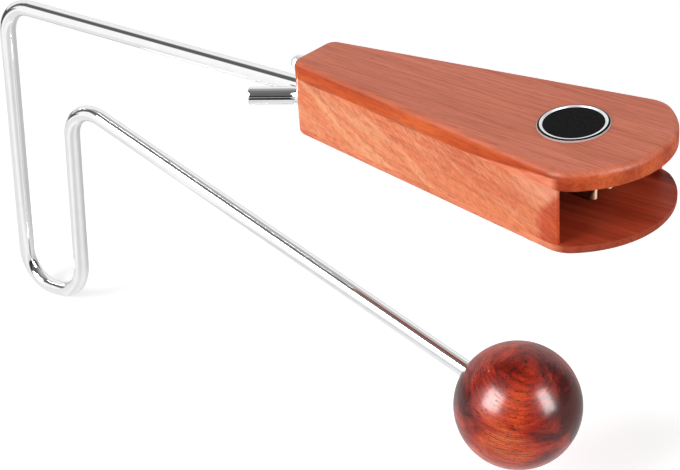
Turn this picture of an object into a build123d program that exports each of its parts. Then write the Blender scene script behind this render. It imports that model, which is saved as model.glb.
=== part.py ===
"""Vibraslap: a bent steel rod with a wooden ball at one end and a fan-shaped wooden sound box at the other.

The origin is the middle of the handle's outer leg, where the hand grips it. +X runs along the instrument
towards the mouth of the sound box, +Z is up and +Y is across. Millimetres.
"""
from build123d import *
from math import acos, cos, degrees, radians, sin, sqrt
import os

# Rod stock and clearances
rod_d = 6.35
rod_end_round = 0.6
joint_gap = 0.05
mortise_gap = 0.2
pin_gap = 0.1
leg_gap = 0.55
loose_gap = 0.3
rest_gap = 0.02

# Rod run lengths, corner to corner, and their angles in the rod's upright plane
leg_angle = 83.8
grip_leg = 135.9
low_run = 35.8
low_run_angle = 6.0
inner_leg = 97.55
top_run = 168.4
top_run_angle = 0.95
arm_length = 228.0
arm_angle = 16.1

# Bend radii on the rod's centre line
upper_bend = 16.2
low_outer_bend = 13.2
low_inner_bend = 19.3
arm_bend = 15.0
tail_bend = 8.0

# Tail stub beside the upper run, splayed to the near side
tail_straight = 4.3
tail_length = 17.6
tail_angle = 33.5

# Eye at the rod's hidden end
eye_neck = 10.9
eye_bend = 4.5
eye_flare = 8.0

# Ball
ball_d = 45.3
rod_past_centre = 4.0
ball_hole_bevel = 0.5

# Sound box
box_length = 139.6
box_height = 28.0
narrow_width = 21.4
wide_width = 61.0
mouth_bow = 17.3
narrow_corner = 4.2
wide_corner = 10.6
top_thick = 6.0
bottom_thick = 3.4
edge_round = 2.3
rod_below_middle = 3.14

# Hollow of the box
block_length = 30.0
hollow_rear_width = 18.0
wall_edge = 2.05
wall_behind_shoulder = 0.4
hollow_corner = 2.0

# Rattle leaf
leaf_thick = 1.0
leaf_below_ceiling = 7.5
leaf_rear_width = 13.0
leaf_front_width = 33.4
leaf_behind_mouth = 14.6
leaf_front_hollow = 4.0
leaf_bend = 1.0
leaf_ceiling_gap = 0.4

# Loose pins
pin_rows = 5
pin_setback = 6.8
pin_row_pitch = 17.4
pin_spread = 8.4
pin_d = 2.0
pin_length = 7.8
pin_head_d = 4.0
pin_head_height = 1.2
pin_head_bevel = 0.5
pin_end_bevel = 0.25

# Fastening of the leaf
stud_d = 3.5
stud_below_ceiling = 2.25
stud_off_middle = 2.8
stud_in_nut = 6.5
stud_past_bar = 0.6
washer_d = 8.6
washer_thick = 0.8
nut_flats = 7.0
nut_hex_height = 4.4
nut_height = 10.7
nut_dome_d = 6.0
bar_thick = 4.0
bar_width = 9.0
bar_height = 5.6

# Dowel in the rod's eye
dowel_below_stud = 1.25

# Badge
badge_from_mouth = 31.7
badge_across = 22.8
badge_along = 26.3
badge_turn = 106.0
badge_thick = 0.5
ring_inset = 0.45
ring_width = 1.1
ring_proud = 0.25
ring_depth = 0.25
badge_edge = 0.2

rod_r = rod_d / 2
ball_r = ball_d / 2
pin_r = pin_d / 2

# Lengths from the narrow end face, and the hollow's width, that follow the box
shoulder = box_length - mouth_bow
wall_length = shoulder - wall_behind_shoulder
leaf_length = box_length - leaf_behind_mouth
hollow_front_width = wide_width - 2 * wall_edge


def along(start, length, angle):
    """The point a length away from start, at an angle above +X in the upright plane."""
    reach = length * cos(radians(angle))
    rise = length * sin(radians(angle))
    return start + Vector(reach, 0, rise)


# Corners of the rod, from the grip outwards
grip = Vector(0, 0, 0)
upper_corner = along(grip, grip_leg / 2, leg_angle)
lower_corner = along(grip, -grip_leg / 2, leg_angle)
low_inner_corner = along(lower_corner, low_run, low_run_angle)
arm_corner = along(low_inner_corner, inner_leg, leg_angle)
ball_centre = along(arm_corner, arm_length, -arm_angle)
arm_end = along(arm_corner, arm_length + rod_past_centre, -arm_angle)
box_entry = along(upper_corner, top_run, top_run_angle)

# The rod's neck inside the box is a hairpin: two legs, closed by an eye that swells past them
leg_half_pitch = rod_r + leg_gap / 2
flare_angle = degrees(acos((leg_half_pitch + eye_flare) / (eye_flare + eye_bend)))
eye_from_end = eye_neck + (eye_flare + eye_bend) * sin(radians(flare_angle))

# Corners of the tail stub, which leaves the box beside the upper run
tail_side = Vector(0, -2 * leg_half_pitch, 0)
tail_root = along(box_entry, eye_neck, top_run_angle) + tail_side
tail_corner = along(box_entry, -tail_straight, top_run_angle) + tail_side
splay = radians(tail_angle)
tail_end = tail_corner - Vector(tail_length * cos(splay), tail_length * sin(splay), 0)

# Levels and faces of the box
box_x = box_entry.X
box_y = -leg_half_pitch
box_bottom = box_entry.Z + rod_below_middle - box_height / 2
core_bottom = box_bottom + bottom_thick
core_top = box_bottom + box_height - top_thick
box_top = core_top + top_thick
leaf_top = core_top - leaf_below_ceiling
stud_z = core_top - stud_below_ceiling
dowel_length = stud_z - stud_d / 2 - dowel_below_stud - core_bottom

# The hairpin lies in the plane of the upper run, centred on the box
rise_cos = cos(radians(top_run_angle))
rise_sin = sin(radians(top_run_angle))
hairpin_plane = Plane(
    origin=(box_x, box_y, box_entry.Z),
    x_dir=(rise_cos, 0, rise_sin),
    z_dir=(-rise_sin, 0, rise_cos),
)
box_floor = Plane(origin=(box_x, box_y, box_bottom))
end_face = Plane(origin=(box_x, box_y + stud_off_middle, stud_z), x_dir=(0, 1, 0), z_dir=(1, 0, 0))
badge_plane = Plane(origin=(box_x + box_length - badge_from_mouth, box_y, box_top))

os.makedirs("parts", exist_ok=True)

# Plan outline of the box, shared by its boards and frame
with BuildSketch() as outline:
    with BuildLine():
        Line((shoulder, -wide_width / 2), (0, -narrow_width / 2))
        Line((0, -narrow_width / 2), (0, narrow_width / 2))
        Line((0, narrow_width / 2), (shoulder, wide_width / 2))
        ThreePointArc((shoulder, wide_width / 2), (box_length, 0), (shoulder, -wide_width / 2))
    make_face()
    fillet(outline.vertices().group_by(Axis.X)[0], radius=narrow_corner)
    fillet(outline.vertices().group_by(Axis.X)[-1], radius=wide_corner)

with BuildPart() as top_plate:
    with BuildSketch(Plane(origin=(box_x, box_y, core_top))):
        add(outline.sketch)
    extrude(amount=top_thick)
    fillet(top_plate.edges().group_by(Axis.Z)[-1], radius=edge_round)
top_plate.part.label = "top_plate"
export_step(top_plate.part, "parts/top_plate.step")

with BuildPart() as bottom_plate:
    with BuildSketch(box_floor):
        add(outline.sketch)
    extrude(amount=bottom_thick)
    fillet(bottom_plate.edges().group_by(Axis.Z)[0], radius=edge_round)
bottom_plate.part.label = "bottom_plate"
export_step(bottom_plate.part, "parts/bottom_plate.step")

with BuildPart() as core_frame:
    core_plane = Plane(origin=(box_x, box_y, core_bottom))
    with BuildSketch(core_plane):
        add(outline.sketch)
    extrude(amount=core_top - core_bottom)
    # The hollow widens to the mouth, and the side walls stop where the boards bow out
    with BuildSketch(core_plane) as hollow:
        with BuildLine():
            Polyline(
                (block_length, -hollow_rear_width / 2),
                (wall_length, -hollow_front_width / 2),
                (wall_length, -wide_width),
                (box_length * 2, -wide_width),
                (box_length * 2, wide_width),
                (wall_length, wide_width),
                (wall_length, hollow_front_width / 2),
                (block_length, hollow_rear_width / 2),
                close=True,
            )
        make_face()
        fillet(hollow.vertices().group_by(Axis.X)[0], radius=hollow_corner)
    extrude(amount=core_top - core_bottom, mode=Mode.SUBTRACT)
    # Mortise for the rod's hairpin, rounded at its blind end
    with BuildSketch(hairpin_plane):
        mortise_r = eye_bend + rod_r + mortise_gap
        with Locations((0, 0)):
            Rectangle(2 * eye_from_end, 2 * mortise_r)
        with Locations((eye_from_end, 0)):
            Circle(mortise_r)
    extrude(amount=rod_r + mortise_gap, both=True, mode=Mode.SUBTRACT)
    # Blind hole for the dowel, from below
    with BuildSketch(core_plane):
        with Locations((eye_from_end, 0)):
            Circle(eye_bend - rod_r - pin_gap + joint_gap)
    extrude(amount=dowel_length + joint_gap, mode=Mode.SUBTRACT)
    # Stud hole along the end block
    with BuildSketch(end_face):
        Circle(stud_d / 2 + joint_gap)
    extrude(amount=block_length, mode=Mode.SUBTRACT)
core_frame.part.label = "core_frame"
export_step(core_frame.part, "parts/core_frame.step")

with BuildPart() as anchor_pin:
    with BuildSketch(Plane(origin=(box_x + eye_from_end, box_y, core_bottom))):
        Circle(eye_bend - rod_r - pin_gap)
    extrude(amount=dowel_length)
anchor_pin.part.label = "anchor_pin"
export_step(anchor_pin.part, "parts/anchor_pin.step")

with BuildPart() as bent_rod:
    with BuildLine():
        # Tail stub and the near leg of the hairpin
        FilletPolyline(tail_end, tail_corner, tail_root, radius=tail_bend)
        # The eye: each leg flares out on a wide arc and a tight arc closes the end
        with BuildLine(hairpin_plane):
            neck_far = (eye_neck, leg_half_pitch)
            neck_near = (eye_neck, -leg_half_pitch)
            half_flare = radians(flare_angle / 2)
            full_flare = radians(flare_angle)
            half_x = eye_neck + eye_flare * sin(half_flare)
            half_y = leg_half_pitch + eye_flare * (1 - cos(half_flare))
            flare_x = eye_neck + eye_flare * sin(full_flare)
            flare_y = leg_half_pitch + eye_flare * (1 - cos(full_flare))
            ThreePointArc(neck_near, (half_x, -half_y), (flare_x, -flare_y))
            ThreePointArc((flare_x, -flare_y), (eye_from_end + eye_bend, 0), (flare_x, flare_y))
            ThreePointArc((flare_x, flare_y), (half_x, half_y), neck_far)
            Line(neck_far, (0, leg_half_pitch))
        # Upper run, handle and the long arm to the ball
        FilletPolyline(
            box_entry,
            upper_corner,
            lower_corner,
            low_inner_corner,
            arm_corner,
            arm_end,
            radius=[upper_bend, low_outer_bend, low_inner_bend, arm_bend],
        )
    with BuildSketch(Plane(origin=arm_end, z_dir=arm_corner - arm_end)):
        Circle(rod_r)
    sweep()
    tail_rim = bent_rod.edges().filter_by(GeomType.CIRCLE).sort_by_distance(tail_end)[0]
    fillet(tail_rim, radius=rod_end_round)
bent_rod.part.label = "bent_rod"
export_step(bent_rod.part, "parts/bent_rod.step")

with BuildPart() as striker_ball:
    # Half profile of the turned ball with the blind hole that the rod is glued into
    ball_axis = (arm_end - ball_centre).normalized()
    hole_r = rod_r + joint_gap
    hole_end = rod_past_centre + joint_gap
    mouth_r = hole_r + ball_hole_bevel
    mouth_x = -sqrt(ball_r**2 - mouth_r**2)
    with BuildSketch(Plane(origin=ball_centre, x_dir=ball_axis, z_dir=(0, -1, 0))):
        with BuildLine():
            Polyline(
                (ball_r, 0),
                (hole_end, 0),
                (hole_end, hole_r),
                (mouth_x + ball_hole_bevel, hole_r),
                (mouth_x, mouth_r),
            )
            ThreePointArc((mouth_x, mouth_r), (0, ball_r), (ball_r, 0))
        make_face()
    revolve(axis=Axis(ball_centre, ball_axis))
striker_ball.part.label = "striker_ball"
export_step(striker_ball.part, "parts/striker_ball.step")

# Places of the loose pins in plan, in two rows along the leaf
pin_places = []
for row in range(pin_rows):
    for side in (-1, 1):
        pin_places.append((leaf_length - pin_setback - row * pin_row_pitch, side * pin_spread / 2))

with BuildPart() as rattle_plate:
    # Side profile: a flat leaf with a tab turned up against the end block
    side_plane = Plane(origin=(box_x + block_length, box_y, leaf_top), x_dir=(1, 0, 0), z_dir=(0, -1, 0))
    tab_height = core_top - leaf_ceiling_gap - leaf_top
    with BuildSketch(side_plane) as side_profile:
        with BuildLine():
            Polyline(
                (0, -leaf_thick),
                (0, tab_height),
                (leaf_thick, tab_height),
                (leaf_thick, 0),
                (leaf_length - block_length, 0),
                (leaf_length - block_length, -leaf_thick),
                close=True,
            )
        make_face()
        fillet(side_profile.vertices().sort_by_distance((leaf_thick, 0))[0], radius=leaf_bend)
        fillet(side_profile.vertices().sort_by_distance((0, -leaf_thick))[0], radius=leaf_bend + leaf_thick)
    extrude(amount=leaf_front_width, both=True)
    # Plan: widens towards the mouth, with a hollow front edge
    with BuildSketch(box_floor):
        with BuildLine():
            Line((leaf_length, -leaf_front_width / 2), (block_length, -leaf_rear_width / 2))
            Line((block_length, -leaf_rear_width / 2), (block_length, leaf_rear_width / 2))
            Line((block_length, leaf_rear_width / 2), (leaf_length, leaf_front_width / 2))
            ThreePointArc(
                (leaf_length, leaf_front_width / 2),
                (leaf_length - leaf_front_hollow, 0),
                (leaf_length, -leaf_front_width / 2),
            )
        make_face()
    extrude(amount=box_height, mode=Mode.INTERSECT)
    with BuildSketch(Plane(origin=(box_x, box_y, leaf_top))):
        with Locations(pin_places):
            Circle(pin_r + loose_gap)
    extrude(amount=-leaf_thick, mode=Mode.SUBTRACT)
    with BuildSketch(end_face.offset(block_length)):
        Circle(stud_d / 2 + joint_gap)
    extrude(amount=leaf_thick, mode=Mode.SUBTRACT)
rattle_plate.part.label = "rattle_plate"
export_step(rattle_plate.part, "parts/rattle_plate.step")

with BuildPart() as clamp_bar:
    with BuildSketch(end_face.offset(block_length + leaf_thick)):
        with Locations((0, core_top - leaf_ceiling_gap - bar_height / 2 - stud_z)):
            Rectangle(bar_width, bar_height)
        Circle(stud_d / 2 + joint_gap, mode=Mode.SUBTRACT)
    extrude(amount=bar_thick)
clamp_bar.part.label = "clamp_bar"
export_step(clamp_bar.part, "parts/clamp_bar.step")

with BuildPart() as clamp_stud:
    with BuildSketch(end_face.offset(-washer_thick - stud_in_nut)):
        Circle(stud_d / 2)
    extrude(amount=stud_in_nut + washer_thick + block_length + leaf_thick + bar_thick + stud_past_bar)
clamp_stud.part.label = "clamp_stud"
export_step(clamp_stud.part, "parts/clamp_stud.step")

with BuildPart() as washer:
    with BuildSketch(end_face):
        Circle(washer_d / 2)
        Circle(stud_d / 2 + joint_gap, mode=Mode.SUBTRACT)
    extrude(amount=-washer_thick)
washer.part.label = "washer"
export_step(washer.part, "parts/washer.step")

with BuildPart() as cap_nut:
    nut_seat = end_face.offset(-washer_thick)
    with BuildSketch(nut_seat):
        RegularPolygon(nut_flats / 2, 6, major_radius=False, rotation=30)
    extrude(amount=-nut_hex_height)
    with BuildSketch(nut_seat):
        Circle(nut_dome_d / 2)
    extrude(amount=-nut_height)
    dome_rim = cap_nut.edges().group_by(Axis.X)[0]
    fillet(dome_rim, radius=nut_dome_d / 2 - joint_gap)
    with BuildSketch(nut_seat):
        Circle(stud_d / 2 + joint_gap)
    extrude(amount=-stud_in_nut - joint_gap, mode=Mode.SUBTRACT)
cap_nut.part.label = "cap_nut"
export_step(cap_nut.part, "parts/cap_nut.step")

# Loose pins, each hanging by its head from the leaf
for number, place in enumerate(pin_places, start=1):
    head_seat = Plane(origin=(box_x + place[0], box_y + place[1], leaf_top + rest_gap))
    with BuildPart() as loose_pin:
        with BuildSketch(head_seat):
            Circle(pin_head_d / 2)
        extrude(amount=pin_head_height)
        chamfer(loose_pin.edges().group_by(Axis.Z)[-1], length=pin_head_bevel)
        with BuildSketch(head_seat):
            Circle(pin_r)
        extrude(amount=-pin_length)
        chamfer(loose_pin.edges().group_by(Axis.Z)[0], length=pin_end_bevel)
    loose_pin.part.label = f"rivet_{number:02d}"
    export_step(loose_pin.part, f"parts/rivet_{number:02d}.step")

with BuildPart() as badge_disc:
    with BuildSketch(badge_plane):
        Ellipse(badge_along / 2, badge_across / 2, rotation=badge_turn)
    extrude(amount=badge_thick)
    chamfer(badge_disc.edges().group_by(Axis.Z)[-1], length=badge_edge)
    # Groove that the ring is set in
    with BuildSketch(badge_plane.offset(badge_thick)):
        Ellipse(badge_along / 2 - ring_inset, badge_across / 2 - ring_inset, rotation=badge_turn)
        Ellipse(
            badge_along / 2 - ring_inset - ring_width,
            badge_across / 2 - ring_inset - ring_width,
            rotation=badge_turn,
            mode=Mode.SUBTRACT,
        )
    extrude(amount=-ring_depth, mode=Mode.SUBTRACT)
badge_disc.part.label = "badge_disc"
export_step(badge_disc.part, "parts/badge_disc.step")

with BuildPart() as badge_ring:
    with BuildSketch(badge_plane.offset(badge_thick - ring_depth)):
        Ellipse(badge_along / 2 - ring_inset, badge_across / 2 - ring_inset, rotation=badge_turn)
        Ellipse(
            badge_along / 2 - ring_inset - ring_width,
            badge_across / 2 - ring_inset - ring_width,
            rotation=badge_turn,
            mode=Mode.SUBTRACT,
        )
    extrude(amount=ring_depth + ring_proud)
    chamfer(badge_ring.edges().group_by(Axis.Z)[-1], length=badge_edge)
badge_ring.part.label = "badge_ring"
export_step(badge_ring.part, "parts/badge_ring.step")
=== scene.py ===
"""Looks, light and camera for the vibraslap."""
import math

import bpy
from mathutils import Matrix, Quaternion, Vector

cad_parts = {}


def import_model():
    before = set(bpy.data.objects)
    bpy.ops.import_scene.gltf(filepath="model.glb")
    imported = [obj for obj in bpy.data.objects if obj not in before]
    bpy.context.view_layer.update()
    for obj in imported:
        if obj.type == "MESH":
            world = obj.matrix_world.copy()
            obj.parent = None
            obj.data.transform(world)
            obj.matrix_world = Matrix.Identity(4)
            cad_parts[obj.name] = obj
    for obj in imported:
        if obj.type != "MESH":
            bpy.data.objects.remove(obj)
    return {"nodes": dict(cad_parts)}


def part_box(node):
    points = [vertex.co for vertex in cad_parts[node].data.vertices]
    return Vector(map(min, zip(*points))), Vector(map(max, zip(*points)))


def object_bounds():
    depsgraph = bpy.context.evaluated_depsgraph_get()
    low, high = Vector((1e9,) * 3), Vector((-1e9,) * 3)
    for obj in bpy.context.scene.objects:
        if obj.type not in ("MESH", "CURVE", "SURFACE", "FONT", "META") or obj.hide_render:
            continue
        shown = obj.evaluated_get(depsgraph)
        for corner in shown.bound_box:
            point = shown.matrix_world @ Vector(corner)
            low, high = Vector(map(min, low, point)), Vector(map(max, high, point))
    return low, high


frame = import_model()
nodes = frame["nodes"]
cad_low, cad_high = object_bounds()
scene = bpy.context.scene


# Node helpers

white = (1.0, 1.0, 1.0)
no_turn = (0, 0, 0)
no_shift = (0, 0, 0)
true_size = (1, 1, 1)
rising = (0.0, 1.0)
falling = (1.0, 0.0)
bump_height = 0.0002


def grey(level):
    """A neutral colour."""
    return (level, level, level)


def empty_material(name):
    """A material without shaders: the material, its node tree and the socket of its surface."""
    material = bpy.data.materials.new(name)
    material.use_nodes = True
    tree = material.node_tree
    tree.nodes.clear()
    output = tree.nodes.new("ShaderNodeOutputMaterial")
    return material, tree, output.inputs["Surface"]


def new_material(name):
    """A material with one shader: the material, its node tree and the shader."""
    material, tree, surface = empty_material(name)
    shader = tree.nodes.new("ShaderNodeBsdfPrincipled")
    tree.links.new(shader.outputs["BSDF"], surface)
    return material, tree, shader


def plug(tree, value, socket):
    """Links a socket, or sets a plain number or colour."""
    if isinstance(value, bpy.types.NodeSocket):
        tree.links.new(value, socket)
    elif isinstance(value, tuple):
        socket.default_value = (*value, 1.0)
    else:
        socket.default_value = value


def place(tree, cells, turn=no_turn, shift=no_shift):
    """Object coordinates, moved, turned in degrees and stretched to so many cells a metre."""
    coordinates = tree.nodes.new("ShaderNodeTexCoord")
    move = tree.nodes.new("ShaderNodeMapping")
    move.inputs["Location"].default_value = shift
    tree.links.new(coordinates.outputs["Object"], move.inputs["Vector"])
    spin = tree.nodes.new("ShaderNodeMapping")
    spin.inputs["Rotation"].default_value = [math.radians(angle) for angle in turn]
    tree.links.new(move.outputs["Vector"], spin.inputs["Vector"])
    stretch = tree.nodes.new("ShaderNodeMapping")
    stretch.inputs["Scale"].default_value = cells
    tree.links.new(spin.outputs["Vector"], stretch.inputs["Vector"])
    return stretch.outputs["Vector"]


def noise(tree, vector, detail=3.0, rough=0.5, distort=0.0):
    """Noise value at the given coordinates."""
    node = tree.nodes.new("ShaderNodeTexNoise")
    node.inputs["Scale"].default_value = 1.0
    node.inputs["Detail"].default_value = detail
    node.inputs["Roughness"].default_value = rough
    node.inputs["Distortion"].default_value = distort
    tree.links.new(vector, node.inputs["Vector"])
    return node.outputs["Fac"]


def ramp(tree, value, stops):
    """Colour ramp with (place, colour) stops."""
    node = tree.nodes.new("ShaderNodeValToRGB")
    elements = node.color_ramp.elements
    while len(elements) < len(stops):
        elements.new(0.5)
    for element, (spot, colour) in zip(elements, stops):
        element.position = spot
        element.color = (*colour, 1.0)
    tree.links.new(value, node.inputs["Fac"])
    return node.outputs["Color"]


def two_tones(tree, value, span, low_tone, high_tone):
    """Goes from one tone to another over a range of the value."""
    return ramp(tree, value, [(span[0], low_tone), (span[1], high_tone)])


def grey_ramp(tree, value, levels):
    """Ramp of neutral colours with (place, level) stops."""
    return ramp(tree, value, [(spot, grey(level)) for spot, level in levels])


def spread(tree, value, span, result=rising):
    """Stretches a value from one range to another and holds it at the ends."""
    node = tree.nodes.new("ShaderNodeMapRange")
    node.inputs["From Min"].default_value = span[0]
    node.inputs["From Max"].default_value = span[1]
    node.inputs["To Min"].default_value = result[0]
    node.inputs["To Max"].default_value = result[1]
    tree.links.new(value, node.inputs["Value"])
    return node.outputs["Result"]


def pick(sockets, name, kind):
    """The socket with a given name that carries a given kind of value."""
    return [socket for socket in sockets if socket.name == name and socket.type == kind][0]


def blend_colours(tree, first, second, factor, kind="MIX"):
    """Mixes two colours; each may be a socket or a plain colour."""
    node = tree.nodes.new("ShaderNodeMix")
    node.data_type = "RGBA"
    node.blend_type = kind
    node.clamp_result = True
    plug(tree, first, pick(node.inputs, "A", "RGBA"))
    plug(tree, second, pick(node.inputs, "B", "RGBA"))
    plug(tree, factor, pick(node.inputs, "Factor", "VALUE"))
    return pick(node.outputs, "Result", "RGBA")


def overlay(tree, colour, pattern, tint, span, strength):
    """Lays a tint over a colour where a pattern is strong."""
    return blend_colours(tree, colour, tint, spread(tree, pattern, span, (0.0, strength)))


def calculate(tree, kind, first, second=0.0):
    """One step of arithmetic on one or two values."""
    node = tree.nodes.new("ShaderNodeMath")
    node.operation = kind
    plug(tree, first, node.inputs[0])
    plug(tree, second, node.inputs[1])
    return node.outputs["Value"]


def product(tree, first, *others):
    """Several values multiplied."""
    for other in others:
        first = calculate(tree, "MULTIPLY", first, other)
    return first


def part(tree, vector, axis):
    """The X, Y or Z part of a vector."""
    node = tree.nodes.new("ShaderNodeSeparateXYZ")
    tree.links.new(vector, node.inputs["Vector"])
    return node.outputs[axis]


def normal(tree, axis):
    """One part of the surface normal."""
    geometry = tree.nodes.new("ShaderNodeNewGeometry")
    return part(tree, geometry.outputs["Normal"], axis)


def position(tree, axis):
    """One part of the place on the object, in metres."""
    coordinates = tree.nodes.new("ShaderNodeTexCoord")
    return part(tree, coordinates.outputs["Object"], axis)


def dot(tree, vector, direction):
    """How far a vector reaches in a direction."""
    node = tree.nodes.new("ShaderNodeVectorMath")
    node.operation = "DOT_PRODUCT"
    tree.links.new(vector, node.inputs[0])
    node.inputs[1].default_value = direction
    return node.outputs["Value"]


def length(tree, vector):
    """The length of a vector."""
    node = tree.nodes.new("ShaderNodeVectorMath")
    node.operation = "LENGTH"
    tree.links.new(vector, node.inputs[0])
    return node.outputs["Value"]


def shift_from(point):
    """The shift that brings a point to the origin."""
    return tuple(-coordinate for coordinate in point)


def along(tree, direction, shift=no_shift):
    """How far a place lies in a direction, from the point that the shift brings to the origin."""
    return dot(tree, place(tree, true_size, no_turn, shift), direction)


def distance_from(tree, point):
    """How far a place lies from a point."""
    return length(tree, place(tree, true_size, no_turn, shift_from(point)))


def relief(tree, shader, height, strength):
    """Bump of a fraction of a millimetre on the shader's normal."""
    node = tree.nodes.new("ShaderNodeBump")
    node.inputs["Strength"].default_value = strength
    node.inputs["Distance"].default_value = bump_height
    tree.links.new(height, node.inputs["Height"])
    tree.links.new(node.outputs["Normal"], shader.inputs["Normal"])


def paint(node_name, material):
    """Gives a piece its only material."""
    slots = nodes[node_name].data.materials
    slots.clear()
    slots.append(material)


# Box wood: cells a metre along and across the grain, and tones

streak_cells = (5, 95, 95)
streak_stops = (0.3, 0.5, 0.72)
fibre_cells = (36, 950, 950)
fibre_tone_span = (0.36, 0.56)
fibre_dark = (0.72, 0.6, 0.56)
fibre_strength = 0.68
pore_cells = (170, 2200, 2200)
pore_span = (0.66, 0.74)
pore_dark = (0.16, 0.04, 0.02)
pore_strength = 0.45
wood_bump = 0.2
# Range of the fibre noise over which the polish changes
fibre_span = (0.3, 0.7)


def straight_grain(tree, turn, light, middle, dark):
    """Streaks, fine fibres and short dark pores along the turned X axis: the colour and the fibres."""
    streak = noise(tree, place(tree, streak_cells, turn), detail=3.0, rough=0.55, distort=0.3)
    colour = ramp(tree, streak, list(zip(streak_stops, (dark, middle, light))))
    fibre = noise(tree, place(tree, fibre_cells, turn), detail=4.0, rough=0.6)
    fibre_shade = two_tones(tree, fibre, fibre_tone_span, fibre_dark, white)
    colour = blend_colours(tree, colour, fibre_shade, fibre_strength, "MULTIPLY")
    pore = noise(tree, place(tree, pore_cells, turn), detail=1.0, rough=0.4)
    colour = overlay(tree, colour, pore, pore_dark, pore_span, pore_strength)
    return colour, fibre


# Painted highlight: a pale wedge on the top board's long rims: where along the board it rises and to which
# part of the thickness
wedge_start = 0.5
wedge_end = 0.92
wedge_rise = (-0.2, 0.72)
wedge_cells = (60, 60, 200)
wedge_span = (0.3, 0.7)
wedge_wander = (-0.08, 0.08)
wedge_edge = (-0.06, 0.06)
wedge_lip_span = (0.0, 0.6)
wedge_grain_cells = (36, 700, 700)
wedge_grain_span = (0.35, 0.65)
painted_highlight_dark = (0.72, 0.17, 0.075)
painted_highlight_light = (0.87, 0.28, 0.16)


def painted_highlight_wedge(tree, colour, ahead):
    """Painted highlight: pale pink, streaked along the grain, on the lower part of the top board's long
    rims, rising towards the mouth.
    """
    low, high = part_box("top_plate")
    board_length = high.x - low.x
    run = (low.x + wedge_start * board_length, low.x + wedge_end * board_length)
    rise = spread(tree, position(tree, "X"), run, wedge_rise)
    wander = spread(tree, noise(tree, place(tree, wedge_cells), detail=2.0), wedge_span, wedge_wander)
    level = spread(tree, position(tree, "Z"), (low.z, high.z))
    depth = calculate(tree, "SUBTRACT", calculate(tree, "ADD", rise, wander), level)
    on_long_rims = spread(tree, ahead, wedge_lip_span, falling)
    wedge = product(tree, spread(tree, depth, wedge_edge), on_long_rims)
    grain = noise(tree, place(tree, wedge_grain_cells), detail=3.0, rough=0.6)
    # The painted highlight's two tones, broken into streaks along the grain
    pale = two_tones(tree, grain, wedge_grain_span, painted_highlight_dark, painted_highlight_light)
    return blend_colours(tree, colour, pale, wedge)


# Normals over which a board's rim turns to its face, its underside and its front lip
face_span = (0.3, 0.8)
under_span = (-0.9, -0.98)
lip_span = (0.0, 0.4)
# Painted shade multiplied into the boards' undersides
underside_painted_shade = (0.45, 0.35, 0.35)
board_rough = (0.5, 0.38)
# Share of the face's gloss that the rim has
rim_gloss = 0.4


def board_material(name, turn, face, rim, lip, gloss, has_painted_highlight):
    """A board whose broad face, long rims and front lip differ in tone; the face's tones and the darker
    underside are painted light and shade.
    """
    material, tree, shader = new_material(name)
    face_colour, fibre = straight_grain(tree, turn, *face)
    rim_colour = straight_grain(tree, turn, *rim)[0]
    facing_up = spread(tree, normal(tree, "Z"), face_span)
    facing_down = spread(tree, normal(tree, "Z"), under_span)
    ahead = spread(tree, normal(tree, "X"), lip_span)
    rim_colour = blend_colours(tree, rim_colour, lip, ahead, "MULTIPLY")
    # Painted shade on the undersides
    rim_colour = blend_colours(tree, rim_colour, underside_painted_shade, facing_down, "MULTIPLY")
    if has_painted_highlight:
        rim_colour = painted_highlight_wedge(tree, rim_colour, ahead)
    # The face's own tones, set apart from the rims', are painted light: sheen on the top board, shade on
    # the bottom board's face inside the mouth
    colour = blend_colours(tree, rim_colour, face_colour, facing_up)
    polish = spread(tree, facing_up, rising, (gloss * rim_gloss, gloss))
    tree.links.new(colour, shader.inputs["Base Color"])
    tree.links.new(spread(tree, fibre, fibre_span, board_rough), shader.inputs["Roughness"])
    tree.links.new(polish, shader.inputs["Specular IOR Level"])
    relief(tree, shader, fibre, wood_bump)
    return material


# Side walls: light, middle and dark tone of the grain, then the figure laid over it
side_turn = (0, -4, 9)
side_tones = ((0.84, 0.24, 0.085), (0.76, 0.18, 0.058), (0.62, 0.11, 0.03))
ribbon_cells = (24, 90, 200)
ribbon_turn = (0, -22, 9)
ribbon_span = (0.48, 0.74)
ribbon_colour = (0.96, 0.45, 0.22)
ribbon_strength = 0.7
fleck_cells = (420, 800, 1000)
fleck_turn = (0, -44, 9)
fleck_span = (0.5, 0.7)
fleck_colour = (0.42, 0.06, 0.018)
fleck_strength = 0.5
speckle_cells = (300, 1000, 1200)
speckle_turn = (0, -30, 9)
speckle_span = (0.5, 0.68)
speckle_colour = (0.95, 0.46, 0.2)
speckle_strength = 0.25
# Glue line under the top board: its depth, and the length over which it fades out, in metres
glue_depth = (0.0007, 0.0001)
glue_fade = 0.01
glue_cells = (45, 45, 0)
glue_span = (0.4, 0.6)
glue_colour = (0.2, 0.03, 0.012)
# Where the wall turns in at the mouth, darkened there as painted shade, and where the painted sheen before
# it lies, in metres from its front and top
upper_depth = (0.009, 0.001)
turn_slant = 0.008
turned_depth = (0.0085, 0.0055)
turn_painted_shade = (0.76, 0.37, 0.26)
sheen_depth = (0.028, 0.01)
painted_sheen_colour = (0.95, 0.45, 0.3)
sheen_strength = 0.44
# Polish of the walls; the coat is thinner where the wall turns in
side_rough = (0.5, 0.4)
side_gloss = 0.15
side_coat = (0.6, 0.25)
side_coat_rough = 0.2


def before(edge, depths):
    """The places that lie so far before an edge."""
    return (edge - depths[0], edge - depths[1])


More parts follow.
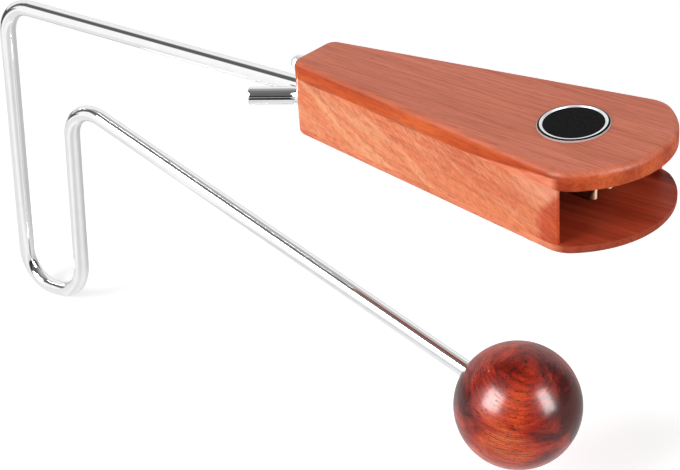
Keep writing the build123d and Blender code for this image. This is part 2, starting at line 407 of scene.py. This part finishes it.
def side_material(name):
    """Side walls: interlocked grain with pale diagonal ribbons and dark flecks; painted darker and redder
    at the mouth as shade, with a painted sheen just before.
    """
    material, tree, shader = new_material(name)
    low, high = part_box("core_frame")
    colour, fibre = straight_grain(tree, side_turn, *side_tones)
    ribbon = noise(tree, place(tree, ribbon_cells, ribbon_turn), detail=3.0, rough=0.55, distort=0.6)
    colour = overlay(tree, colour, ribbon, ribbon_colour, ribbon_span, ribbon_strength)
    fleck = noise(tree, place(tree, fleck_cells, fleck_turn), detail=3.0, rough=0.65)
    colour = overlay(tree, colour, fleck, fleck_colour, fleck_span, fleck_strength)
    speckle = noise(tree, place(tree, speckle_cells, speckle_turn), detail=2.0, rough=0.6)
    colour = overlay(tree, colour, speckle, speckle_colour, speckle_span, speckle_strength)
    # A thin dark glue line under the top board, broken here and there, that fades out halfway to the mouth
    halfway = (low.x + high.x) / 2
    faded = spread(tree, position(tree, "X"), (halfway - glue_fade, halfway + glue_fade), falling)
    line = spread(tree, position(tree, "Z"), before(high.z, glue_depth))
    breaks = spread(tree, noise(tree, place(tree, glue_cells), detail=2.0), glue_span)
    colour = blend_colours(tree, colour, glue_colour, product(tree, line, faded, breaks))
    # Towards the mouth, where the wall turns, it is painted darker and redder as shade, with a painted pale
    # sheen just before
    upper = spread(tree, position(tree, "Z"), before(high.z, upper_depth))
    slant = calculate(tree, "SUBTRACT", position(tree, "X"), product(tree, upper, turn_slant))
    turned = spread(tree, slant, before(high.x, turned_depth))
    sheen = spread(tree, slant, before(high.x, sheen_depth))
    colour = blend_colours(tree, colour, painted_sheen_colour, product(tree, sheen, upper, sheen_strength))
    colour = blend_colours(tree, colour, turn_painted_shade, turned, "MULTIPLY")
    tree.links.new(colour, shader.inputs["Base Color"])
    tree.links.new(spread(tree, fibre, fibre_span, side_rough), shader.inputs["Roughness"])
    shader.inputs["Specular IOR Level"].default_value = side_gloss
    tree.links.new(spread(tree, turned, rising, side_coat), shader.inputs["Coat Weight"])
    shader.inputs["Coat Roughness"].default_value = side_coat_rough
    relief(tree, shader, fibre, wood_bump)
    return material


top_board = board_material(
    "box_top",
    turn=(0, 0, 2),
    # The face, paler and pinker than the rims, is painted sheen
    face=((0.72, 0.2, 0.108), (0.65, 0.166, 0.085), (0.56, 0.13, 0.063)),
    rim=((0.74, 0.15, 0.035), (0.58, 0.085, 0.016), (0.36, 0.036, 0.006)),
    lip=(0.95, 1.1, 1.6),
    gloss=0.3,
    has_painted_highlight=True,
)
bottom_board = board_material(
    "box_bottom",
    turn=(0, 0, -3),
    # The face, which lies inside the mouth, is painted darker than the rims as shade
    face=((0.62, 0.1, 0.04), (0.37, 0.046, 0.017), (0.17, 0.016, 0.005)),
    rim=((0.9, 0.33, 0.18), (0.8, 0.25, 0.13), (0.66, 0.17, 0.08)),
    lip=(0.44, 0.24, 0.22),
    gloss=0.12,
    has_painted_highlight=False,
)
paint("top_plate", top_board)
paint("bottom_plate", bottom_board)
paint("core_frame", side_material("box_side"))


# Ball: rings round a pole, broad tones, dark streaks and pores, and painted light and shade on its sides

ball_pole = Vector((0.293, -0.257, 0.921))
ring_wander_cells = (70, 70, 70)
ring_wander = 0.0032
# Turn of the rings' wave in radians a metre along the pole
ring_turns = 8200.0
ring_span = (0.2, 0.95)
ring_patch_cells = (55, 55, 90)
ring_patch_span = (0.38, 0.62)
ring_strengths = (0.08, 0.6)
ring_colour = (0.07, 0.005, 0.003)
ring_bump = 0.04
broad_cells = (60, 60, 120)
broad_tones = [
    (0.2, (0.08, 0.003, 0.002)),
    (0.36, (0.42, 0.023, 0.006)),
    (0.5, (0.68, 0.066, 0.013)),
    (0.7, (0.76, 0.14, 0.034)),
]
# Painted light and shade: directions in which the ball grows lighter or darker, from which to which part of
# its radius, and how much
ball_painted_light = (
    ((0.231, -0.972, 0.012), 0.2, 1.0, 0.1),
    ((0.778, 0.367, 0.475), 0.1, 0.9, -0.22),
    ((-0.507, -0.756, 0.426), 0.45, 0.98, -0.28),
    ((0.996, -0.022, -0.078), 0.45, 0.98, -0.18),
)
ball_streak_cells = (70, 220, 1300)
ball_streak_span = (0.44, 0.7)
ball_streak_colour = (0.05, 0.004, 0.003)
ball_streak_strength = 0.65
ball_pore_cells = (700, 1500, 3600)
ball_pore_span = (0.62, 0.7)
ball_pore_colour = (0.008, 0.003, 0.003)
ball_pore_strength = 0.85
# Polish of the ball; the lacquer is thinner over the pores
ball_rough = 0.4
ball_gloss = 0.1
ball_lacquer = (0.6, 0.15)
ball_lacquer_rough = 0.22


def ball_material(name):
    """Turned and lacquered dark wood: rings round a pole, orange and wine patches, black pores, and painted
    light and shade that lighten its front and darken its other sides.
    """
    material, tree, shader = new_material(name)
    low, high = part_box("striker_ball")
    shift = shift_from((low + high) / 2)
    radius = (high.z - low.z) / 2
    pole_turn = ball_pole.rotation_difference(Vector((0, 0, 1))).to_euler()
    turn = tuple(math.degrees(angle) for angle in pole_turn)
    warp = noise(tree, place(tree, ring_wander_cells, turn, shift), detail=3.0)
    level = calculate(tree, "ADD", along(tree, ball_pole, shift), product(tree, warp, ring_wander))
    rings = calculate(tree, "SINE", product(tree, level, ring_turns))
    ring_patch = noise(tree, place(tree, ring_patch_cells, turn, shift), detail=2.0)
    ring_strength = spread(tree, ring_patch, ring_patch_span, ring_strengths)
    ring_mask = product(tree, spread(tree, rings, ring_span), ring_strength)
    tone = noise(tree, place(tree, broad_cells, turn, shift), detail=4.0, rough=0.6, distort=0.8)
    # Painted light and shade: each side's brightening or darkening is added to the tone
    for direction, start, end, change in ball_painted_light:
        reach = (start * radius, end * radius)
        painted_shading = spread(tree, along(tree, direction, shift), reach, (0.0, change))
        tone = calculate(tree, "ADD", tone, painted_shading)
    colour = ramp(tree, tone, broad_tones)
    streak = noise(tree, place(tree, ball_streak_cells, turn, shift), detail=4.0, rough=0.65)
    colour = overlay(tree, colour, streak, ball_streak_colour, ball_streak_span, ball_streak_strength)
    colour = blend_colours(tree, colour, ring_colour, ring_mask)
    pore = noise(tree, place(tree, ball_pore_cells, turn, shift), detail=1.0, rough=0.4)
    pore_mask = spread(tree, pore, ball_pore_span, (0.0, ball_pore_strength))
    colour = blend_colours(tree, colour, ball_pore_colour, pore_mask)
    lacquer = spread(tree, pore_mask, (0.0, ball_pore_strength), ball_lacquer)
    tree.links.new(colour, shader.inputs["Base Color"])
    shader.inputs["Roughness"].default_value = ball_rough
    shader.inputs["Specular IOR Level"].default_value = ball_gloss
    tree.links.new(lacquer, shader.inputs["Coat Weight"])
    shader.inputs["Coat Roughness"].default_value = ball_lacquer_rough
    relief(tree, shader, rings, ring_bump)
    return material


paint("striker_ball", ball_material("ball_wood"))


# Metals

cloud_cells = (180, 180, 180)
cloud_tone_span = (0.25, 0.7)
cloud_rough_span = (0.2, 0.8)
# Roughness of the cloudy and of the clear patches, as shares of the metal's own
cloudy_rough = 1.4
clear_rough = 0.8


def metal_material(name, tone, rough, wear):
    """Metal with a faint cloudiness in its polish."""
    material, tree, shader = new_material(name)
    cloud = noise(tree, place(tree, cloud_cells), detail=4.0, rough=0.55)
    worn_tone = tuple(channel * wear for channel in tone)
    colour = two_tones(tree, cloud, cloud_tone_span, worn_tone, tone)
    roughness = spread(tree, cloud, cloud_rough_span, (rough * cloudy_rough, rough * clear_rough))
    tree.links.new(colour, shader.inputs["Base Color"])
    tree.links.new(roughness, shader.inputs["Roughness"])
    shader.inputs["Metallic"].default_value = 1.0
    return material


rod_chrome = metal_material("rod_chrome", tone=(0.95, 0.95, 0.96), rough=0.085, wear=0.96)
nut_chrome = metal_material("nut_chrome", tone=(0.93, 0.93, 0.94), rough=0.36, wear=0.95)
plain_steel = metal_material("plain_steel", tone=(0.55, 0.55, 0.57), rough=0.28, wear=0.85)
# The leaf steel's red-brown tone is a painted reflection of the red wood round it
leaf_steel = metal_material("leaf_steel", tone=(0.11, 0.045, 0.03), rough=0.45, wear=0.6)
pin_brass = metal_material("pin_brass", tone=(0.95, 0.8, 0.58), rough=0.5, wear=0.9)


# Badge: the angle in degrees of its long axis from X, and its lines as parts of its radius

badge_turn = 106.0
silver_start = 0.838
silver_end = 0.926
rim_start = 0.972
line_softness = 0.008
enamel_cells = (900, 900, 900)
enamel_span = (0.3, 0.75)
enamel_dark = (0.006, 0.006, 0.0065)
enamel_light = (0.012, 0.012, 0.0125)
silver_span = (0.25, 0.7)
silver_dark = (0.84, 0.84, 0.85)
silver_light = (0.9, 0.9, 0.91)
# The pale rim is a painted highlight on the disc's edge
badge_rim_highlight = (0.5, 0.43, 0.41)
# Roughness of the enamel and of the silver, and the enamel's low refraction
badge_rough = (0.26, 0.34)
badge_refraction = 1.05


def badge_radius(tree):
    """Elliptical radius on the badge, 0 in its middle and 1 at its rim."""
    low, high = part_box("badge_disc")
    half = (high - low) / 2
    # The box round a turned ellipse gives the sum and the difference of the squares of its half axes
    squares = half.x**2 + half.y**2
    lean = (half.x**2 - half.y**2) / math.cos(2 * math.radians(badge_turn))
    long_half = math.sqrt((squares + lean) / 2)
    short_half = math.sqrt((squares - lean) / 2)
    shift = shift_from((low + high) / 2)
    return length(tree, place(tree, (1 / long_half, 1 / short_half, 0.0), (0, 0, -badge_turn), shift))


def badge_material(name):
    """Black enamel with a fine speckle, a silver line near its edge, a dark line and a pale rim that is a
    painted highlight.
    """
    material, tree, shader = new_material(name)
    speck = noise(tree, place(tree, enamel_cells), detail=3.0, rough=0.6)
    enamel = two_tones(tree, speck, enamel_span, enamel_dark, enamel_light)
    bright = two_tones(tree, speck, silver_span, silver_dark, silver_light)
    radius = badge_radius(tree)
    past_start = spread(tree, radius, (silver_start, silver_start + line_softness))
    before_end = spread(tree, radius, (silver_end - line_softness, silver_end), falling)
    silver = product(tree, past_start, before_end)
    rim = spread(tree, radius, (rim_start, rim_start + line_softness))
    colour = blend_colours(tree, enamel, bright, silver)
    colour = blend_colours(tree, colour, badge_rim_highlight, rim)
    tree.links.new(colour, shader.inputs["Base Color"])
    tree.links.new(silver, shader.inputs["Metallic"])
    tree.links.new(spread(tree, silver, rising, badge_rough), shader.inputs["Roughness"])
    shader.inputs["IOR"].default_value = badge_refraction
    return material


badge_enamel = badge_material("badge_enamel")
coats = {
    "bent_rod": rod_chrome,
    "cap_nut": nut_chrome,
    "washer": nut_chrome,
    "anchor_pin": plain_steel,
    "clamp_bar": plain_steel,
    "clamp_stud": plain_steel,
    "rattle_plate": leaf_steel,
    "badge_disc": badge_enamel,
    "badge_ring": badge_enamel,
}
for node_name, coat in coats.items():
    paint(node_name, coat)
for node_name, piece in nodes.items():
    if node_name.startswith("rivet_"):
        paint(node_name, pin_brass)
    for polygon in piece.data.polygons:
        polygon.use_smooth = True


# Floor

floor_size = 8.0
floor_drop = 0.0005
floor_cells = (30, 30, 30)
floor_tones = [(0.3, 0.9), (0.7, 0.92)]
# Own light of the floor to the camera, near the object and far from it, and the distances between
floor_glow = 0.4
far_floor_glow = 0.65
glow_span = (0.5, 1.2)
# Brightness of the mirrored floor across the object, from 200 mm in front of it to 200 mm behind
mirror_span = (-0.2, 0.2)
floor_mirror = [
    (0.13, 1.0),
    (0.22, 0.8),
    (0.29, 0.7),
    (0.36, 0.77),
    (0.44, 0.9),
    (0.53, 0.9),
    (0.62, 0.7),
    (0.72, 0.56),
    (1.0, 0.58),
]
# Brightness of the mirrored floor round the legs: from behind the handle by the front, the box and the rear
between_legs = (0.018, 0.0, 0.0)
legs_span = (0.22, 0.28)
legs_mirror = [
    (0.0, 0.83),
    (0.15, 0.85),
    (0.205, 1.0),
    (0.245, 1.0),
    (0.28, 0.86),
    (0.325, 0.74),
    (0.367, 0.68),
    (0.41, 0.75),
    (0.455, 0.87),
    (0.5, 0.87),
    (0.547, 0.75),
    (0.6, 0.6),
    (0.66, 0.54),
    (0.75, 0.56),
    (0.875, 0.58),
    (0.95, 0.64),
    (1.0, 0.85),
]
# Pale mirrored patch right under the legs
patch_span = (0.02, 0.05)
patch_level = 0.9
patch_strength = 0.5
# Dark mirrored floor towards the front, beyond the ball
front_direction = (0.55, -0.83, 0.0)
front_span = (0.29, 0.31)
front_side = (0.83, 0.55, 0.0)
front_side_span = (-0.2, -0.1)
front_level = 0.02
# Dark mirrored floor far to the left of the handle, between a near and a rear border
left_span = (-0.45, -0.35)
left_near_side = (-0.7, 1.0, 0.0)
left_near_span = (-0.05, 0.05)
left_rear_side = (0.15, 1.0, 0.0)
left_rear_span = (0.1, 0.2)
left_level = 0.08


def mirrored_floor(tree):
    """Brightness of the floor as polished metal mirrors it: a painted reflection, grey where it stands in
    for shadows and shade round the object and dark towards the front and far left.
    """
    shade = grey_ramp(tree, spread(tree, position(tree, "Y"), mirror_span), floor_mirror)
    ahead = calculate(tree, "SUBTRACT", position(tree, "X"), between_legs[0])
    angle = calculate(tree, "ARCTAN2", position(tree, "Y"), ahead)
    round_legs = grey_ramp(tree, spread(tree, angle, (-math.pi, math.pi)), legs_mirror)
    from_legs = distance_from(tree, between_legs)
    shade = blend_colours(tree, shade, round_legs, spread(tree, from_legs, legs_span, falling))
    patch = spread(tree, from_legs, patch_span, (patch_strength, 0.0))
    shade = blend_colours(tree, shade, grey(patch_level), patch)
    towards_front = spread(tree, along(tree, front_direction), front_span)
    to_the_side = spread(tree, along(tree, front_side), front_side_span)
    shade = blend_colours(tree, shade, grey(front_level), product(tree, towards_front, to_the_side))
    far_left = spread(tree, position(tree, "X"), left_span, falling)
    not_near = spread(tree, along(tree, left_near_side), left_near_span)
    not_behind = spread(tree, along(tree, left_rear_side), left_rear_span, falling)
    return blend_colours(tree, shade, grey(left_level), product(tree, far_left, not_near, not_behind))


def floor_material(name):
    """Pale floor: near white to the camera, with the object's shadow, and banded in mirrored rays."""
    material, tree, surface = empty_material(name)
    path = tree.nodes.new("ShaderNodeLightPath")
    diffuse = tree.nodes.new("ShaderNodeBsdfDiffuse")
    tone = grey_ramp(tree, noise(tree, place(tree, floor_cells), detail=3.0), floor_tones)
    tree.links.new(tone, diffuse.inputs["Color"])
    glow = tree.nodes.new("ShaderNodeEmission")
    own_light = spread(tree, distance_from(tree, (0.0, 0.0, 0.0)), glow_span, (floor_glow, far_floor_glow))
    tree.links.new(product(tree, path.outputs["Is Camera Ray"], own_light), glow.inputs["Strength"])
    lit = tree.nodes.new("ShaderNodeAddShader")
    tree.links.new(diffuse.outputs["BSDF"], lit.inputs[0])
    tree.links.new(glow.outputs["Emission"], lit.inputs[1])
    mirrored = tree.nodes.new("ShaderNodeEmission")
    tree.links.new(mirrored_floor(tree), mirrored.inputs["Color"])
    choice = tree.nodes.new("ShaderNodeMixShader")
    tree.links.new(path.outputs["Is Glossy Ray"], choice.inputs["Fac"])
    tree.links.new(lit.outputs["Shader"], choice.inputs[1])
    tree.links.new(mirrored.outputs["Emission"], choice.inputs[2])
    tree.links.new(choice.outputs["Shader"], surface)
    return material


bpy.ops.mesh.primitive_plane_add(size=floor_size, location=(0.0, 0.0, cad_low.z - floor_drop))
floor = bpy.context.object
floor.name = "floor"
floor.data.materials.append(floor_material("floor_pale"))


# Light

middle = (cad_low + cad_high) / 2
left_direction = (-0.215, -0.838, 0.502)
right_direction = (0.914, 0.078, 0.398)
box_distance = 1.3
window_distance = 1.29
lamp_height = 0.8


def soft_light(name, direction, distance, width, power):
    """A soft box that faces the object from the given direction."""
    data = bpy.data.lights.new(name, "AREA")
    data.shape = "RECTANGLE"
    data.size = width
    data.size_y = lamp_height
    data.energy = power
    lamp = bpy.data.objects.new(name, data)
    scene.collection.objects.link(lamp)
    outward = Vector(direction).normalized()
    lamp.location = middle + outward * distance
    lamp.rotation_euler = outward.to_track_quat("Z", "Y").to_euler()
    return lamp


soft_light("left_box", left_direction, box_distance, width=0.6, power=10.5)
soft_light("right_box", right_direction, box_distance, width=0.5, power=6.0)
# The same two windows again, seen only in glossy surfaces, for crisp highlights on lacquer
left_window = soft_light("left_window", left_direction, window_distance, width=0.8, power=36.0)
right_window = soft_light("right_window", right_direction, window_distance, width=0.42, power=20.0)
left_window.visible_diffuse = False
right_window.visible_diffuse = False


# World: an even fill, and a dark room with bright parts for mirrored rays

fill_level = 0.42
room_level = 0.11
# Backdrop behind the object
backdrop_direction = (-0.68, 0.73, 0.0)
backdrop_span = (0.48, 0.62)
backdrop_level = 0.9
# Card to the left of the camera, below a height
card_direction = (-0.3, -0.95, 0.0)
card_span = (0.64, 0.72)
card_top = (0.54, 0.62)
card_right = (-0.25, -0.1)
# Ceiling, brighter towards the back
ceiling_span = (0.75, 0.9)
ceiling_depth = (-0.3, 0.65)
ceiling_levels = (0.06, 0.6)
# Upper part of the wall at the back right
wall_span = (-0.35, -0.1)
wall_level = 0.45
wall_bottom = (0.5, 0.62)
wall_depth = (0.2, 0.45)
# Dark gap low in front
gap_direction = (0.55, -0.83, 0.0)
gap_span = (0.6, 0.75)
gap_top = (0.26, 0.36)
gap_level = 0.03


def studio_world(name):
    """White to the camera and an even fill; polished metal mirrors a dark room with a few bright parts."""
    world = bpy.data.worlds.new(name)
    world.use_nodes = True
    tree = world.node_tree
    background = tree.nodes["Background"]
    ray = tree.nodes.new("ShaderNodeTexCoord").outputs["Generated"]
    ray_x = part(tree, ray, "X")
    ray_y = part(tree, ray, "Y")
    ray_z = part(tree, ray, "Z")
    backdrop = spread(tree, dot(tree, ray, backdrop_direction), backdrop_span, (0.0, backdrop_level))
    card = product(
        tree,
        spread(tree, ray_z, card_top, falling),
        spread(tree, dot(tree, ray, card_direction), card_span),
        spread(tree, ray_x, card_right, falling),
    )
    ceiling = product(
        tree,
        spread(tree, ray_z, ceiling_span),
        spread(tree, ray_y, ceiling_depth, ceiling_levels),
    )
    wall = product(
        tree,
        spread(tree, ray_x, wall_span, (0.0, wall_level)),
        spread(tree, ray_z, wall_bottom),
        spread(tree, ray_y, wall_depth),
    )
    bright = backdrop
    for other in (card, ceiling, wall):
        bright = calculate(tree, "MAXIMUM", bright, other)
    mirrored = blend_colours(tree, grey(room_level), white, bright)
    in_gap = spread(tree, dot(tree, ray, gap_direction), gap_span)
    gap = product(tree, spread(tree, ray_z, gap_top, falling), in_gap)
    mirrored = blend_colours(tree, mirrored, grey(gap_level), gap)
    path = tree.nodes.new("ShaderNodeLightPath")
    colour = blend_colours(tree, grey(fill_level), mirrored, path.outputs["Is Glossy Ray"])
    colour = blend_colours(tree, colour, white, path.outputs["Is Camera Ray"])
    tree.links.new(colour, background.inputs["Color"])
    return world


scene.world = studio_world("studio")


# Camera

camera_data = bpy.data.cameras.new("camera")
camera_data.sensor_width = 36.0
camera_data.lens = 97.914
camera_data.clip_start = 0.05
camera_data.clip_end = 50.0
camera = bpy.data.objects.new("camera", camera_data)
scene.collection.objects.link(camera)
camera.rotation_mode = "QUATERNION"
camera.location = (0.57312, -0.43388, 0.34161)
camera.rotation_quaternion = Quaternion((0.815575, 0.464933, 0.198935, 0.281247))
scene.camera = camera
scene.view_settings.view_transform = "Standard"
